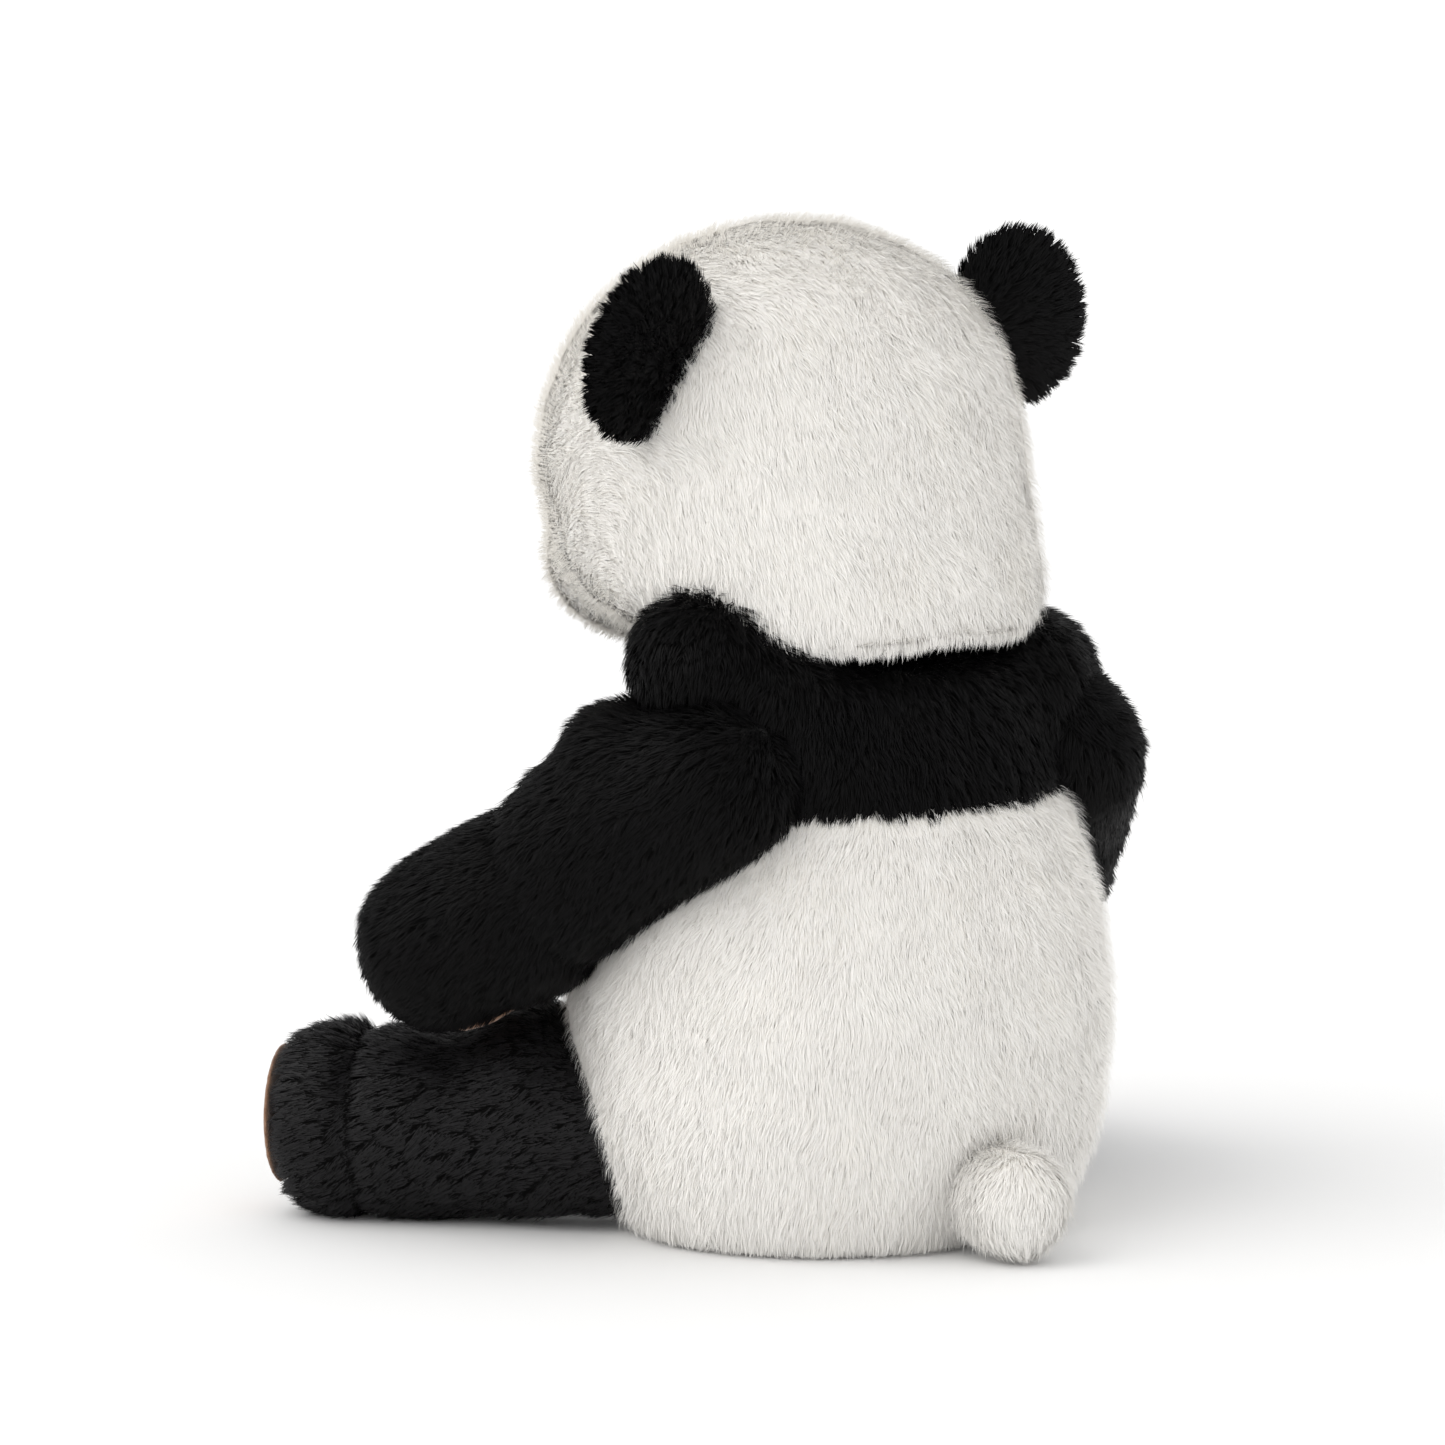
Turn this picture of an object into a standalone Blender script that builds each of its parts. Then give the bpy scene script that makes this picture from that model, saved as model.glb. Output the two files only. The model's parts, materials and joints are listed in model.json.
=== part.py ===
"""Seated plush panda: fur skins, fibre stuffing, eyes, nose, pads, ears and tail as separate pieces.

Metres, +Z up. The panda looks along -Y, its left side is +X, and it sits on the floor at z = 0.
The origin is at the centre of its footprint. Every piece hangs from the torso's axis, BODY_Y behind it.
"""
import math

import bmesh
import bpy
from mathutils import Matrix, Vector

# Driving sizes
BODY_Y = 0.0222        # torso axis, behind the middle of the footprint
SKIN = 0.003           # fur fabric: backing and the packed roots of its pile
GAP = 0.0003           # between two pieces that touch
SQUASH = 0.92          # torso depth over torso width
FAR = 0.4              # reach of a cutter that passes everything
HOLE_DEPTH = 0.02      # reach of a cutter through one skin

# Torso: a flat seat, a round belly and a dome that the head turns on
SEAT_RADIUS = 0.100
SEAT_PANEL_GAP = 0.0013
BELLY_RADIUS = 0.137
BELLY_Z = 0.105
DOME_Z = 0.240
DOME_RADIUS = 0.100
DOME_TOP_Z = 0.277
SEAM_BACK_Z = 0.213    # yoke seam at the middle of the back
SEAM_DROP = 0.056      # how far the seam falls towards the sides
TORSO_SLACK = 0.0013   # stuffing to skin, where the rim of the dome turns sharply
BAG_RADIUS = 0.050
BAG_TOP_Z = 0.030

# Head
HEAD_CENTRE = Vector((0, -0.040, 0.360))
HEAD_WIDTH = 0.121
HEAD_DEPTH = 0.106
HEAD_ABOVE = 0.117
HEAD_BELOW = 0.087
COLLAR_SHIFT = 0.050   # the head's lower end lies this far behind its middle
CROWN_POWER = 0.93     # the smaller a power, the fuller the head there
NAPE_POWER = 0.40
CHIN_POWER = 0.50
CHEEK = 0.008
NECK_BOWL_RADIUS = DOME_RADIUS + 0.0025
NECK_PLUG_RADIUS = DOME_RADIUS - 0.002
NECK_PLUG_WIDTH = 0.078

# Ears, as half lenses on a line sewn into the head
EAR_LOW = (0.099, -0.010, 0.384)
EAR_HIGH = (0.073, -0.004, 0.443)
EAR_UP = (0.90, 0.12, 0.42)
EAR_RADII = Vector((0.046, 0.010, 0.038))
EAR_CENTRE = Vector((0, 0, 0.028))
EAR_CLEARANCE = 0.0022
EAR_SWING = 15

# Muzzle, eyes and nose
MUZZLE_RADII = Vector((0.045, 0.036, 0.033))
MUZZLE_CENTRE = Vector((0, -0.141, 0.316))
PATCH_THICKNESS = 0.002
PATCH_RADIUS = 0.020
PATCH_STRETCH = 1.35
PATCH_TILT = 30
PATCH_DROP = 0.004      # the patch lies this far below the eye's centre
EYE_AIM = (0.46, -0.87, 0.06)
EYE_RADIUS = 0.0080
NOSE_AIM = Vector((0, -0.86, 0.51))
NOSE_RADIUS = 0.0110
BUTTON_RISE = 0.8       # dome height over dome radius
STEM_RADIUS = 0.0020
STEM_LENGTH = 0.012
WASHER_RADIUS = 0.0075
WASHER_THICKNESS = 0.0012
WASHER_SINK = 0.0022    # washer below the curved inside of the skin
THREAD_RADIUS = 0.0011

# Limbs: (pivot, far centre), radius at the pivot, radius at the far end
ARM = ((0.106, 0.040, 0.226), (0.168, -0.084, 0.140), 0.0435, 0.0455)
LEG = ((0.080, -0.035, 0.0500), (0.1755, -0.156, 0.0475), 0.041, 0.0465)
TAIL = ((0, 0.106, 0.0320), (0, 0.134, 0.0310), 0.0250, 0.0275)
TOE_REACH = 0.75       # rounding of a blunt foot's end, over its radius
PAW_FACING = (-0.49, -0.20, -0.85)
LIMB_CLEARANCE = 0.0021
LEG_SWING = (-8, 0, 8)
TAIL_SWING = (-15, 15)
PAD_THICKNESS = 0.0025
PAW_PAD_RADIUS = 0.027
FOOT_PAD_RADIUS = 0.034
STUFFING_HOLE = 0.016

WHITE_FUR = (0.84, 0.80, 0.73)
BLACK_FUR = (0.013, 0.013, 0.015)
BROWN_SUEDE = (0.24, 0.13, 0.075)
FIBRE = (0.86, 0.87, 0.88)
BEADS = (0.62, 0.60, 0.56)
BLACK_PLASTIC = (0.012, 0.012, 0.012)
CLEAR_PLASTIC = (0.72, 0.72, 0.70)
BLACK_THREAD = (0.02, 0.02, 0.02)


def clear_scene():
    """Removes every object and makes the collections for the parts and the cutters."""
    for item in list(bpy.data.objects):
        bpy.data.objects.remove(item, do_unlink=True)
    for name in ("plush_panda", "cutters"):
        bpy.context.scene.collection.children.link(bpy.data.collections.new(name))


def add_axis():
    """Adds the empty on the torso's axis that everything hangs from."""
    axis = bpy.data.objects.new("torso_axis", None)
    axis.location = (0, BODY_Y, 0)
    bpy.data.collections["plush_panda"].objects.link(axis)
    return axis


def add_object(name, mesh, axis, colour=None, roughness=0.9):
    """Adds a part with its own material, or a cutter when there is no colour."""
    item = bpy.data.objects.new(name, mesh)
    item.parent = axis
    if colour is None:
        item.hide_render = True
        item.display_type = "WIRE"
        bpy.data.collections["cutters"].objects.link(item)
        return item
    finish = bpy.data.materials.new(name)
    finish.use_nodes = True
    shader = finish.node_tree.nodes["Principled BSDF"]
    shader.inputs["Base Color"].default_value = (*colour, 1)
    shader.inputs["Roughness"].default_value = roughness
    shader.inputs["Metallic"].default_value = 0
    finish.diffuse_color = (*colour, 1)
    mesh.materials.append(finish)
    bpy.data.collections["plush_panda"].objects.link(item)
    return item


def boolean(item, operation, *cutters):
    """Cuts or keeps a part by each cutter in turn."""
    for cutter in cutters:
        step = item.modifiers.new("by_" + cutter.name, "BOOLEAN")
        step.operation = operation
        step.object = cutter
        step.solver = "EXACT"


def thicken(item, thickness):
    """Turns a surface into a shell that grows inwards."""
    shell = item.modifiers.new("thickness", "SOLIDIFY")
    shell.thickness = thickness
    shell.offset = -1
    shell.use_even_offset = True


def shrink(item, amount):
    """Draws a closed surface inwards along its normals."""
    step = item.modifiers.new("shrink", "DISPLACE")
    step.strength = -amount
    step.mid_level = 0


def turned(name, profile, steps, axis, colour=None, roughness=0.9):
    """Turns (radius, height) points, listed from the top down, about local Z."""
    mesh = bpy.data.meshes.new(name)
    edges = [(i, i + 1) for i in range(len(profile) - 1)]
    mesh.from_pydata([(radius, 0, height) for radius, height in profile], edges, [])
    item = add_object(name, mesh, axis, colour, roughness)
    screw = item.modifiers.new("turn", "SCREW")
    screw.steps = steps
    screw.render_steps = steps
    screw.use_merge_vertices = True
    screw.merge_threshold = 0.00001
    return item


def cylinder(radius, top, bottom):
    """Returns the profile of a plain cylinder."""
    return [(0, top), (radius, top), (radius, bottom), (0, bottom)]


def blob(name, shape, segments, rings, axis, grow=0.0, colour=None, roughness=0.9):
    """Maps a unit sphere through shape(direction), then moves it out along its normals by grow."""
    form = bmesh.new()
    bmesh.ops.create_uvsphere(form, u_segments=segments, v_segments=rings, radius=1)
    for vertex in form.verts:
        vertex.co = shape(vertex.co.normalized())
    form.normal_update()
    moved = [vertex.co + vertex.normal * grow for vertex in form.verts]
    for vertex, place in zip(form.verts, moved):
        vertex.co = place
    mesh = bpy.data.meshes.new(name)
    form.to_mesh(mesh)
    form.free()
    return add_object(name, mesh, axis, colour, roughness)


def block(name, low, high, axis):
    """Adds a cutter box between two corners."""
    form = bmesh.new()
    bmesh.ops.create_cube(form, size=1)
    low, high = Vector(low), Vector(high)
    for vertex in form.verts:
        vertex.co = (low + high) / 2 + vertex.co * (high - low)
    mesh = bpy.data.meshes.new(name)
    form.to_mesh(mesh)
    form.free()
    return add_object(name, mesh, axis)


def ellipsoid(centre, radii):
    """Returns the shape function of an ellipsoid."""
    return lambda direction: centre + direction * radii


def frame_on(origin, z_axis, x_hint):
    """Returns a placement with local Z along z_axis and local X as near x_hint as it can be."""
    z_axis = Vector(z_axis).normalized()
    x_axis = Vector(x_hint)
    x_axis = (x_axis - z_axis * x_axis.dot(z_axis)).normalized()
    y_axis = z_axis.cross(x_axis)
    turn = Matrix((x_axis, y_axis, z_axis)).transposed()
    return Matrix.Translation(origin) @ turn.to_4x4()


def sided(point, side):
    """Mirrors a point to the panda's left (side 1) or right (side -1)."""
    return Vector((point[0] * side, point[1], point[2]))


# Torso

def torso_profile():
    """Lists the torso's outline from its dome down to its flat seat."""
    points = [(0, DOME_TOP_Z)]
    top_angle = math.asin((DOME_TOP_Z - DOME_Z) / DOME_RADIUS)
    for i in range(3):
        angle = top_angle * (1 - i / 2)
        points.append((DOME_RADIUS * math.cos(angle), DOME_Z + DOME_RADIUS * math.sin(angle)))
    for i in range(1, 5):
        blend = math.sin(math.pi / 2 * i / 5)
        points.append((DOME_RADIUS + (BELLY_RADIUS - DOME_RADIUS) * blend,
                       DOME_Z + (BELLY_Z - DOME_Z) * i / 5))
    for i in range(6):
        angle = math.pi / 2 * i / 5
        points.append((SEAT_RADIUS + (BELLY_RADIUS - SEAT_RADIUS) * math.cos(angle),
                       BELLY_Z * (1 - math.sin(angle))))
    points.append((0, 0))
    return points


def torso_solid(name, axis, colour):
    """Adds the whole torso form, with its squash baked in so that shell thickness stays true."""
    form = turned(name, torso_profile(), 28, axis, colour)
    form.scale = (1, SQUASH, 1)
    bpy.context.view_layer.update()
    baked = bpy.data.meshes.new_from_object(form.evaluated_get(bpy.context.evaluated_depsgraph_get()))
    baked.transform(Matrix.Diagonal((*form.scale, 1)))
    form.modifiers.clear()
    form.data = baked
    form.scale = (1, 1, 1)
    return form


def seam_block(name, axis, lift):
    """Adds the cutter that fills everything above the yoke seam, lifted by lift."""
    form = bmesh.new()
    bmesh.ops.create_grid(form, x_segments=12, y_segments=2, size=1)
    for vertex in form.verts:
        x, y = vertex.co.x * FAR / 2, vertex.co.y * FAR / 2
        across = min(abs(x) / BELLY_RADIUS, 1)
        vertex.co = Vector((x, y, SEAM_BACK_Z - SEAM_DROP * across ** 4 + lift))
    floor = bmesh.ops.extrude_face_region(form, geom=form.faces[:])
    for item in floor["geom"]:
        if isinstance(item, bmesh.types.BMVert):
            item.co.z = FAR
    bmesh.ops.recalc_face_normals(form, faces=form.faces)
    mesh = bpy.data.meshes.new(name)
    form.to_mesh(mesh)
    form.free()
    return add_object(name, mesh, axis)


def make_torso(axis, limb_cutters):
    """Makes the three torso skins, the stuffing, the bead bag and the seat panel."""
    above_seam = seam_block("above_seam", axis, GAP / 2)
    above_belly = seam_block("above_belly", axis, -GAP / 2)
    neck_hole = turned("neck_hole", cylinder(NECK_PLUG_WIDTH, FAR, DOME_Z), 32, axis)
    neck_hole.scale = (1, SQUASH, 1)
    seat_hole = turned("seat_hole", cylinder(SEAT_RADIUS, HOLE_DEPTH, -HOLE_DEPTH), 40, axis)
    seat_hole.scale = (1, SQUASH, 1)
    shoulder = Vector((0, ARM[0][1], ARM[0][2]))
    fall = Vector((0, ARM[1][1], ARM[1][2])) - shoulder
    side_seams = frame_on(shoulder, fall.cross(Vector((1, 0, 0))), (1, 0, 0))
    front = block("front", (-FAR, -FAR, GAP / 2), (FAR, FAR, FAR), axis)
    back = block("back", (-FAR, -FAR, -FAR), (FAR, FAR, -GAP / 2), axis)
    for item in (front, back):
        item.matrix_local = side_seams
    for name, operation, cutters, colour, hole in (
        ("chest_skin", "INTERSECT", (above_seam, front), BLACK_FUR, neck_hole),
        ("upper_back_skin", "INTERSECT", (above_seam, back), BLACK_FUR, neck_hole),
        ("belly_skin", "DIFFERENCE", (above_belly,), WHITE_FUR, seat_hole),
    ):
        skin = torso_solid(name, axis, colour)
        thicken(skin, SKIN)
        boolean(skin, operation, *cutters)
        boolean(skin, "DIFFERENCE", hole, *limb_cutters)

    stuffing = torso_solid("torso_stuffing", axis, FIBRE)
    shrink(stuffing, SKIN + TORSO_SLACK)
    below_bag = block("below_bag", (-FAR, -FAR, -FAR), (FAR, FAR, BAG_TOP_Z + GAP), axis)
    boolean(stuffing, "DIFFERENCE", below_bag, *limb_cutters)

    bag = [(0, BAG_TOP_Z)]
    half = (BAG_TOP_Z - SKIN - GAP) / 2
    for i in range(9):
        angle = math.pi / 2 - math.pi * i / 8
        bag.append((BAG_RADIUS - half + half * math.cos(angle), BAG_TOP_Z - half + half * math.sin(angle)))
    bag.append((0, SKIN + GAP))
    turned("seat_bead_bag", bag, 28, axis, BEADS)

    rim = SEAT_RADIUS - SEAT_PANEL_GAP
    panel = turned("seat_panel", cylinder(rim, SKIN, 0), 40, axis, WHITE_FUR)
    panel.scale = (1, SQUASH, 1)


# Limbs

def limb_profile(limb, grow, blunt):
    """Lists a limb's outline from its far end back to its ball."""
    start, end, near_radius, far_radius = limb
    length = (Vector(end) - Vector(start)).length
    reach = far_radius * (TOE_REACH if blunt > 2 else 1.0) + grow
    points = [(0, length + reach)]
    for i in range(1, 5):
        angle = math.pi / 2 * i / 4
        points.append(((far_radius + grow) * math.sin(angle) ** (2 / blunt),
                       length + reach * math.cos(angle) ** (2 / blunt)))
    for i in range(1, 4):
        blend = 0.5 + 0.5 * math.cos(math.pi * i / 3)
        points.append((near_radius + (far_radius - near_radius) * blend + grow, length * (1 - i / 3)))
    ball = near_radius + grow
    for i in range(1, 4):
        angle = math.pi / 2 * i / 4
        points.append((ball * math.cos(angle), -ball * math.sin(angle)))
    points.append((0, -ball))
    return points


def limb_frame(limb, side, x_hint):
    """Returns a limb's placement: local Z runs from its pivot along its length."""
    start, end = sided(limb[0], side), sided(limb[1], side)
    return frame_on(start, end - start, sided(x_hint, side))


def hull_cutter(name, points, axis):
    """Adds the tight convex form around a cloud of points as a cutter."""
    form = bmesh.new()
    for point in points:
        form.verts.new(point)
    hull = bmesh.ops.convex_hull(form, input=form.verts[:])
    loose = {item for key in ("geom_interior", "geom_unused") for item in hull[key]
             if isinstance(item, bmesh.types.BMVert)}
    bmesh.ops.delete(form, geom=list(loose), context="VERTS")
    bmesh.ops.recalc_face_normals(form, faces=form.faces)
    mesh = bpy.data.meshes.new(name)
    form.to_mesh(mesh)
    form.free()
    return add_object(name, mesh, axis)


def limb_room(name, limb, place, axis, blunt, turns):
    """Adds the room a limb needs as it swings about the vertical through its pivot."""
    sides = 16
    points = []
    for radius, height in limb_profile(limb, LIMB_CLEARANCE, blunt):
        for i in range(sides):
            angle = 2 * math.pi * i / sides
            points.append(place @ Vector((radius * math.cos(angle), radius * math.sin(angle), height)))
    pivot = place.translation
    swept = []
    for turn in turns:
        swing = Matrix.Rotation(math.radians(turn), 3, "Z")
        swept += [pivot + swing @ (point - pivot) for point in points]
    return hull_cutter(name, swept, axis)


def stuffed_limb(name, limb, place, axis, blunt, steps, colour):
    """Makes a limb's skin, open on the ball's side that faces the torso, and the stuffing inside it."""
    skin = turned(name + "_skin", limb_profile(limb, 0, blunt), steps, axis, colour)
    thicken(skin, SKIN)
    hole = turned(name + "_hole", cylinder(STUFFING_HOLE, limb[2] * 1.5, STUFFING_HOLE / 4), 16, axis)
    inwards = Vector((-place.translation.x, -place.translation.y, 0))
    hole.matrix_local = frame_on(place.translation, inwards, (0, 0, 1))
    boolean(skin, "DIFFERENCE", hole)
    stuffing = turned(name + "_stuffing", limb_profile(limb, -SKIN - GAP, blunt), steps, axis, FIBRE)
    for item in (skin, stuffing):
        item.matrix_local = place


def make_arm(axis, side, word):
    """Makes an arm with a suede pad on the side of its paw that lies on the leg."""
    place = limb_frame(ARM, side, PAW_FACING)
    stuffed_limb("arm_" + word, ARM, place, axis, 2, 18, BLACK_FUR)
    length = (Vector(ARM[1]) - Vector(ARM[0])).length
    pad = turned("paw_pad_" + word, limb_profile(ARM, GAP + PAD_THICKNESS, 2), 18, axis, BROWN_SUEDE)
    core = turned("paw_core_" + word, limb_profile(ARM, GAP, 2), 18, axis)
    punch = turned("paw_punch_" + word, cylinder(PAW_PAD_RADIUS, 2 * ARM[3], ARM[3] / 2), 24, axis)
    pad.matrix_local = place
    core.matrix_local = place
    punch.matrix_local = place @ Matrix.Translation((0, 0, length)) @ Matrix.Rotation(math.pi / 2, 4, "Y")
    boolean(pad, "DIFFERENCE", core)
    boolean(pad, "INTERSECT", punch)
    return limb_room("arm_room_" + word, ARM, place, axis, 2, (0,))


def make_leg(axis, side, word):
    """Makes a leg with a suede sole, and its room in the torso over its whole swing."""
    place = limb_frame(LEG, side, (0, 0, -1))
    stuffed_limb("leg_" + word, LEG, place, axis, 3, 18, BLACK_FUR)
    length = (Vector(LEG[1]) - Vector(LEG[0])).length
    sole = length + LEG[3] * TOE_REACH + GAP
    edge = PAD_THICKNESS / 2
    profile = [(0, sole + PAD_THICKNESS), (FOOT_PAD_RADIUS - edge, sole + PAD_THICKNESS),
               (FOOT_PAD_RADIUS, sole + edge), (FOOT_PAD_RADIUS, sole), (0, sole)]
    pad = turned("foot_pad_" + word, profile, 24, axis, BROWN_SUEDE)
    pad.matrix_local = place
    return limb_room("leg_room_" + word, LEG, place, axis, 3, [turn * side for turn in LEG_SWING])


def make_tail(axis):
    """Makes the stub tail, and its room in the torso over its whole wag."""
    place = limb_frame(TAIL, 1, (0, 0, -1))
    stuffed_limb("tail", TAIL, place, axis, 2, 18, WHITE_FUR)
    return limb_room("tail_room", TAIL, place, axis, 2, TAIL_SWING)


# Head

def head_shape(direction):
    """Maps a direction to the head: round above, fuller below, with cheeks at the front."""
    rise = abs(direction.z)
    flat = math.hypot(direction.x, direction.y)
    around = Vector((direction.x, direction.y)) / max(flat, 1e-9)
    power = CROWN_POWER if direction.z > 0 else NAPE_POWER + (CHIN_POWER - NAPE_POWER) * (1 - around.y) / 2
    height = HEAD_ABOVE if direction.z > 0 else HEAD_BELOW
    radius = flat ** power
    lower = rise ** (2 * power) if direction.z < 0 else 0
    cheek = CHEEK * max(0, -around.y) * abs(around.x) * 2 * radius ** 4
    x = around.x * (HEAD_WIDTH * radius + cheek)
    y = around.y * (HEAD_DEPTH * radius + cheek) + COLLAR_SHIFT * lower
    z = math.copysign(height * rise ** power, direction.z)
    return HEAD_CENTRE + Vector((x, y, z))


def head_blob(name, axis, grow=0.0, colour=None):
    """Adds the head form, grown or shrunk."""
    return blob(name, head_shape, 26, 14, axis, grow, colour)


def surface_frame(aim, side):
    """Returns a placement on the head's surface with local Z along its outward normal."""
    aim = sided(aim, side).normalized()
    point = head_shape(aim)
    step = 0.02
    across = aim.cross(Vector((0, 0, 1))).normalized() * step
    up = Vector((0, 0, 1)) * step
    run = head_shape((aim + across).normalized()) - head_shape((aim - across).normalized())
    climb = head_shape((aim + up).normalized()) - head_shape((aim - up).normalized())
    normal = run.cross(climb).normalized()
    if normal.dot(point - HEAD_CENTRE) < 0:
        normal = -normal
    return frame_on(point, normal, (0, 0, 1))


def safety_button(name, place, axis, dome_radius, lift, layers):
    """Makes a plastic dome on a stem with its washer, and returns the cutters for its hole and pocket."""
    stem_end = lift - STEM_LENGTH
    profile = []
    for i in range(6):
        angle = math.pi / 2 * (1 - i / 5)
        profile.append((dome_radius * math.cos(angle), lift + dome_radius * BUTTON_RISE * math.sin(angle)))
    profile[0] = (0, lift + dome_radius * BUTTON_RISE)
    profile += [(STEM_RADIUS, lift), (STEM_RADIUS, stem_end), (0, stem_end)]
    button = turned(name, profile, 16, axis, BLACK_PLASTIC, 0.12)
    seat = -layers - WASHER_SINK
    washer_profile = [(STEM_RADIUS + GAP, seat), (WASHER_RADIUS, seat),
                      (WASHER_RADIUS, seat - WASHER_THICKNESS),
                      (STEM_RADIUS + GAP, seat - WASHER_THICKNESS), (STEM_RADIUS + GAP, seat)]
    washer = turned(name + "_washer", washer_profile, 16, axis, CLEAR_PLASTIC, 0.4)
    hole = turned(name + "_hole", cylinder(STEM_RADIUS + GAP, HOLE_DEPTH, -HOLE_DEPTH), 16, axis)
    pocket = turned(name + "_pocket", cylinder(WASHER_RADIUS + GAP, SKIN, stem_end - GAP), 16, axis)
    for item in (button, washer, hole, pocket):
        item.matrix_local = place
    return hole, pocket


def make_eye(axis, side, word):
    """Makes an eye patch and a safety eye, and returns the eye's cutters."""
    place = surface_frame(EYE_AIM, side)
    patch = head_blob("eye_patch_" + word, axis, GAP + PATCH_THICKNESS, BLACK_FUR)
    core = head_blob("patch_core_" + word, axis, GAP)
    oval = turned("patch_oval_" + word, cylinder(PATCH_RADIUS, HOLE_DEPTH, -HOLE_DEPTH), 28, axis)
    tilt = Matrix.Rotation(math.radians(-PATCH_TILT * side), 4, "Z")
    drop = Matrix.Translation((-PATCH_DROP, 0, 0))
    oval.matrix_local = place @ tilt @ drop @ Matrix.Diagonal((PATCH_STRETCH, 1, 1, 1))
    lift = PATCH_THICKNESS + 4 * GAP
    hole, pocket = safety_button("eye_" + word, place, axis, EYE_RADIUS, lift, SKIN)
    boolean(patch, "INTERSECT", oval)
    boolean(patch, "DIFFERENCE", core, hole)
    return hole, pocket


def make_muzzle(axis):
    """Makes the muzzle's skin and stuffing, the nose and the stitched mouth."""
    skin = blob("muzzle_skin", ellipsoid(MUZZLE_CENTRE, MUZZLE_RADII), 20, 12, axis, 0, WHITE_FUR)
    thicken(skin, SKIN)
    stuffing = blob("muzzle_stuffing", ellipsoid(MUZZLE_CENTRE, MUZZLE_RADII), 20, 12, axis,
                    -SKIN - GAP, FIBRE)
    core = head_blob("muzzle_core", axis, GAP)
    seat = MUZZLE_CENTRE + NOSE_AIM * MUZZLE_RADII
    normal = Vector((0, NOSE_AIM.y / MUZZLE_RADII.y, NOSE_AIM.z / MUZZLE_RADII.z))
    place = frame_on(seat, normal, (0, 0, 1))
    hole, pocket = safety_button("nose", place, axis, NOSE_RADIUS, 6 * GAP, SKIN)
    boolean(skin, "DIFFERENCE", core, hole)
    boolean(stuffing, "DIFFERENCE", core, pocket)
    make_mouth(axis)


def make_thread(name, points, axis):
    """Makes a stitched line of thread through the points."""
    curve = bpy.data.curves.new(name, "CURVE")
    curve.dimensions = "3D"
    curve.bevel_depth = THREAD_RADIUS
    curve.bevel_resolution = 1
    curve.use_fill_caps = True
    spline = curve.splines.new("POLY")
    spline.points.add(len(points) - 1)
    for knot, place in zip(spline.points, points):
        knot.co = (*place, 1)
    add_object(name, curve, axis, BLACK_THREAD)


def make_mouth(axis):
    """Makes the embroidered mouth: one stitch down from the nose and a smile below it."""
    lift = Vector((1, 1, 1)) * (THREAD_RADIUS + 2 * GAP)
    outer = ellipsoid(MUZZLE_CENTRE, MUZZLE_RADII + lift)
    fall = [Vector((0, -math.cos(angle), math.sin(angle))) for angle in (0.12, 0.03, -0.06, -0.15)]
    smile = []
    for i in range(13):
        across = -1 + 2 * i / 12
        sink = -0.24 - 0.20 * math.sin(math.pi * abs(across)) + 0.10 * across ** 2
        smile.append(Vector((0.55 * across, -1, sink)).normalized())
    make_thread("lip_stitch", [outer(aim) for aim in fall], axis)
    make_thread("mouth_stitch", [outer(aim) for aim in smile], axis)


def ear_frame(side):
    """Returns the ear's placement: origin on the hinge line, Z up the ear, Y out of its back."""
    low = sided(EAR_LOW, side)
    high = sided(EAR_HIGH, side)
    along = (high - low).normalized()
    up = sided(EAR_UP, side)
    up = (up - along * up.dot(along)).normalized()
    return frame_on((low + high) / 2, up, along)


def ear_half(name, place, axis, keep):
    """Makes the front or back half of the ear lens, with a flat face where the halves meet."""
    form = bmesh.new()
    bmesh.ops.create_uvsphere(form, u_segments=20, v_segments=12, radius=1)
    for vertex in form.verts:
        vertex.co = EAR_CENTRE + vertex.co * EAR_RADII
    cut = bmesh.ops.bisect_plane(form, geom=form.verts[:] + form.edges[:] + form.faces[:],
                                 plane_co=(0, keep * GAP / 2, 0), plane_no=(0, -keep, 0),
                                 clear_outer=True)
    rim = [item for item in cut["geom_cut"] if isinstance(item, bmesh.types.BMEdge)]
    bmesh.ops.edgeloop_fill(form, edges=rim)
    bmesh.ops.recalc_face_normals(form, faces=form.faces)
    mesh = bpy.data.meshes.new(name)
    form.to_mesh(mesh)
    form.free()
    item = add_object(name, mesh, axis, BLACK_FUR)
    item.matrix_local = place


def ear_slot(name, place, axis):
    """Adds the room the ear needs as it flexes about its hinge line."""
    radii = EAR_RADII + Vector((1, 1, 1)) * EAR_CLEARANCE
    points = []
    for turn in (-EAR_SWING, 0, EAR_SWING):
        swung = place @ Matrix.Rotation(math.radians(turn), 4, "X")
        for i in range(16):
            for j in range(1, 9):
                around = 2 * math.pi * i / 16
                down = math.pi * j / 9
                aim = Vector((math.sin(down) * math.cos(around), math.sin(down) * math.sin(around),
                              math.cos(down)))
                points.append(swung @ (EAR_CENTRE + aim * radii))
    return hull_cutter(name, points, axis)


def make_ear(axis, side, word):
    """Makes an ear of two panels, and returns the cutter of the slot it is sewn into."""
    place = ear_frame(side)
    front = 1 if (place.to_3x3() @ Vector((0, 1, 0))).y < 0 else -1
    ear_half(f"ear_{word}_front", place, axis, front)
    ear_half(f"ear_{word}_back", place, axis, -front)
    return ear_slot("ear_slot_" + word, place, axis)


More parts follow.
